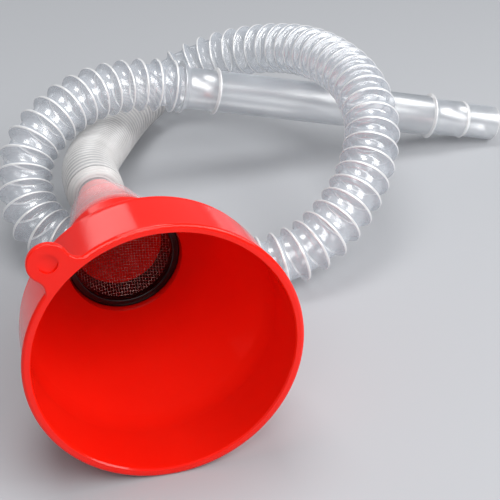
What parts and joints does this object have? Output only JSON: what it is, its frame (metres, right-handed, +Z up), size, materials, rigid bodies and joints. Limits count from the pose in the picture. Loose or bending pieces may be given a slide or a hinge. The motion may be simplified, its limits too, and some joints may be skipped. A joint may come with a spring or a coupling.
{
  "type": "filling funnel",
  "caption": "Wide plastic filling funnel with a lift-out wire strainer and a long corrugated hose that ends in a straight pour tube.",
  "frame": {"origin": "under the middle of the funnel, on the surface that the funnel and its hose lie on", "axes": "+Z up; +Y runs along the funnel from its mouth to its spout, seen from above; +X to the right when looking into the mouth"},
  "size_m": [0.3266, 0.359, 0.1203],
  "materials": {
    "funnel_plastic": "glossy red moulded polyethylene",
    "ring_plastic": "glossy black moulded plastic",
    "mesh_wire": "fine woven steel wire",
    "hose_plastic": "translucent natural polyethylene, slightly milky"
  },
  "bodies": {
    "hose": {"hose_cuff": "hose_plastic", "hose_bellows": "hose_plastic", "pour_tube": "hose_plastic"},
    "funnel": {"funnel_bowl": "funnel_plastic"},
    "strainer": {"strainer_ring": "ring_plastic", "strainer_mesh": "mesh_wire"}
  },
  "joints": [
    {"name": "funnel_pull", "type": "slide", "parent": "hose", "child": "funnel", "axis": [0, -0.9957, 0.0924], "range_m": [0, 0.056]},
    {"name": "strainer_lift", "type": "slide", "parent": "funnel", "child": "strainer", "axis": [0, -0.9957, 0.0924], "range_m": [0, 0.115]}
  ]
}
